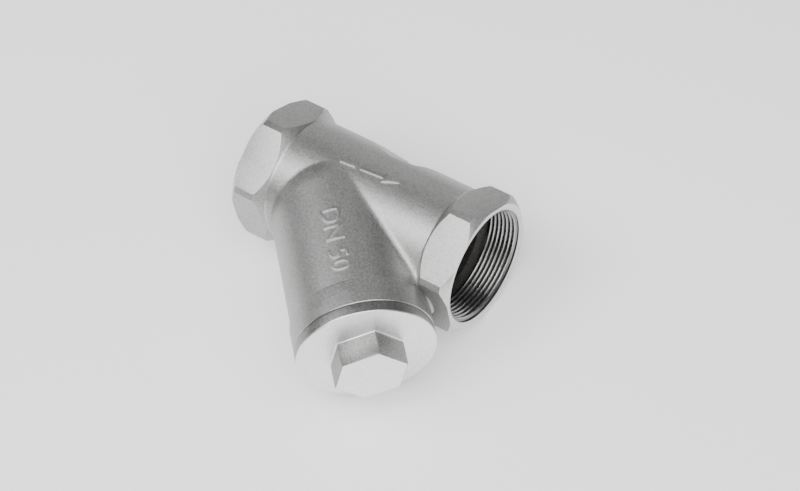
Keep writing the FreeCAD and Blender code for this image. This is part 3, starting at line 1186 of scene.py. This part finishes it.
def mark_highlight_finish(middle, width):
    over_run = math.hypot(middle.y, middle.z) / MM - NECK_R
    over_branch = branch_place(middle)[1] - BRANCH_R
    # The sides and bevels of each stroke get the bright cap edge paint, a painted highlight that outlines it; the
    # tops keep the cast finish.
    return cast_steel if min(over_run, over_branch) > MARK_HEIGHT * 0.9 else cap_edge


def cap_finish(middle, width):
    along = branch_place(middle)[0]
    if min(abs(along - CAP_FACE_T), abs(along - CAP_HEX_END_T)) < CLOSE:
        return cap_face
    # Narrow edge faces of the cap get the bright edge paint: wear and a painted highlight.
    return cap_edge if width < EDGE_FACE_WIDTH and along > CAP_JOINT_T else cap_steel


finishes(
    body,
    [cast_steel, cast_edge, cast_inside, turned_cone, machined_run, machined_branch, pipe_thread_shaded_roots],
    casting_finish,
)
finishes(cap, [cap_steel, cap_face, cap_edge], cap_finish)
for mark in (arrow, size_mark):
    finishes(mark, [cast_steel, cap_edge], mark_highlight_finish)
for ridge in (inlet_thread, outlet_thread):
    finishes(ridge, [pipe_thread_shaded_roots])
finishes(mouth_thread, [mouth_thread_shaded_roots])
finishes(cap_thread, [cap_thread_shaded_roots])
for piece in (screen, seam, seat_ring, cap_ring):
    finishes(piece, [rolled_sheet])
finishes(gasket, [sealing])
finishes(frame["nodes"]["screen_mesh"], [wire_cloth])

# %% [markdown]
# The camera looks down on the strainer from the cap's side, with a long lens, so the parts keep
# their proportions. Its three axes are given, and its shift sets the strainer left of the middle.

# %% Camera
CAMERA_DISTANCE = 1.1936
FOCAL_LENGTH = 108.45
SENSOR_WIDTH = 36
CAMERA_SHIFT = (0.02905, -0.0395)
back = Vector((0.430, -0.414, 0.802)).normalized()
right = Vector((0.812, 0.565, -0.144))
right = (right - back * right.dot(back)).normalized()
up = back.cross(right)
run_centre = Vector((RUN_LENGTH / 2 * MM, 0, 0))
camera = bpy.data.objects.new("camera", bpy.data.cameras.new("camera"))
bpy.context.scene.collection.objects.link(camera)
stand = Matrix.Translation(run_centre + back * CAMERA_DISTANCE)
camera.matrix_world = stand @ Matrix((right, up, back)).transposed().to_4x4()
camera.data.sensor_width = SENSOR_WIDTH
camera.data.lens = FOCAL_LENGTH
camera.data.shift_x, camera.data.shift_y = CAMERA_SHIFT
bpy.context.scene.camera = camera

# %% [markdown]
# Metal shows what is around it. Four softboxes stand on the camera's side and to the left, and none
# on the right, so that each face gets its own tone and the far side falls off to dark. The floor is
# a pale sheet that glows a little, as a light table does, and it lights the faces that look down.


# %% Light and floor
SOFTBOX_DISTANCE = 1.2


def softbox(name, direction, size, power):
    """A square light that shines on the strainer. The direction is across, up and back."""
    light = bpy.data.lights.new(name, "AREA")
    light.size = size
    light.energy = power
    lamp = bpy.data.objects.new(name, light)
    bpy.context.scene.collection.objects.link(lamp)
    x, y, z = direction
    aim = (right * x + up * y + back * z).normalized()
    lamp.location = run_centre + aim * SOFTBOX_DISTANCE
    lamp.rotation_euler = aim.to_track_quat("Z", "Y").to_euler()
    return lamp


softbox("front", (0.05, 0.05, 1.0), 1.5, 26)
softbox("key", (-0.64, 0.34, 0.69), 0.8, 12)
softbox("side", (-0.79, 0.55, 0.26), 0.6, 0.5)
softbox("far", (0.10, 0.98, -0.17), 0.6, 1.3)
SURROUND_GLOW = 0.04
world = bpy.data.worlds.new("surroundings")
bpy.context.scene.world = world
world.use_nodes = True
world.node_tree.nodes["Background"].inputs["Color"].default_value = (1, 1, 1, 1)
world.node_tree.nodes["Background"].inputs["Strength"].default_value = SURROUND_GLOW

FLOOR_SIZE = 6.0
FLOOR_GLOW = 0.45
FLOOR_GAP = 0.00005
floor_sheet = bmesh.new()
bmesh.ops.create_grid(floor_sheet, x_segments=1, y_segments=1, size=FLOOR_SIZE / 2)
floor = as_object(floor_sheet, "floor", Matrix.Translation((0, 0, cad_box[0][2] - FLOOR_GAP)))
pale = Paint("pale_floor")
pale.set(Base_Color=(0.9, 0.9, 0.9), Roughness=0.7, Emission_Color=(1, 1, 1), Emission_Strength=FLOOR_GLOW)
finishes(floor, [pale])
